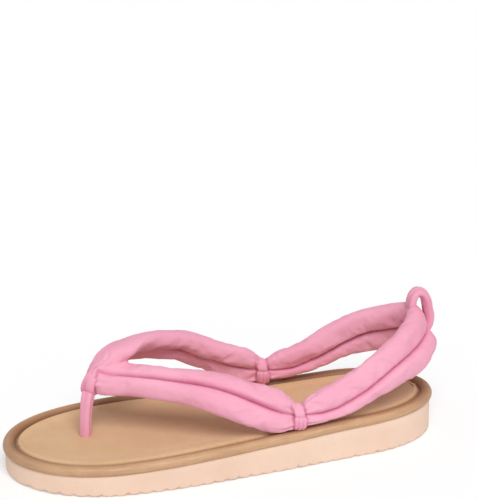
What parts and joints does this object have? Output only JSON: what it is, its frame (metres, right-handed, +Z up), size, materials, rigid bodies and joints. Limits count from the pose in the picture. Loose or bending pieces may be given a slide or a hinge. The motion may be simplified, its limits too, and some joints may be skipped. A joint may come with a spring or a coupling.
{
  "type": "padded strap sandal",
  "caption": "Left-hand flat sandal: foam wedge sole with a rolled rim and insole, and a soft padded double-roll strap round the forefoot and heel",
  "frame": {"origin": "on the ground under the middle of the sole's length", "axes": "+Z up, +X from the toe to the heel, +Y from the outer side to the inner side"},
  "size_m": [0.2553, 0.0952, 0.0843],
  "materials": {
    "foam": "matte, faintly speckled",
    "rim": "smooth, low sheen",
    "footbed": "suede-like, matte",
    "cloth": "soft brushed jersey over padding"
  },
  "bodies": {
    "root": {"outsole": "foam", "rim": "rim", "footbed": "footbed", "strap": "cloth", "toe_post": "cloth", "tie_outer": "cloth", "tie_inner": "cloth", "heel_loop": "cloth"}
  },
  "joints": []
}
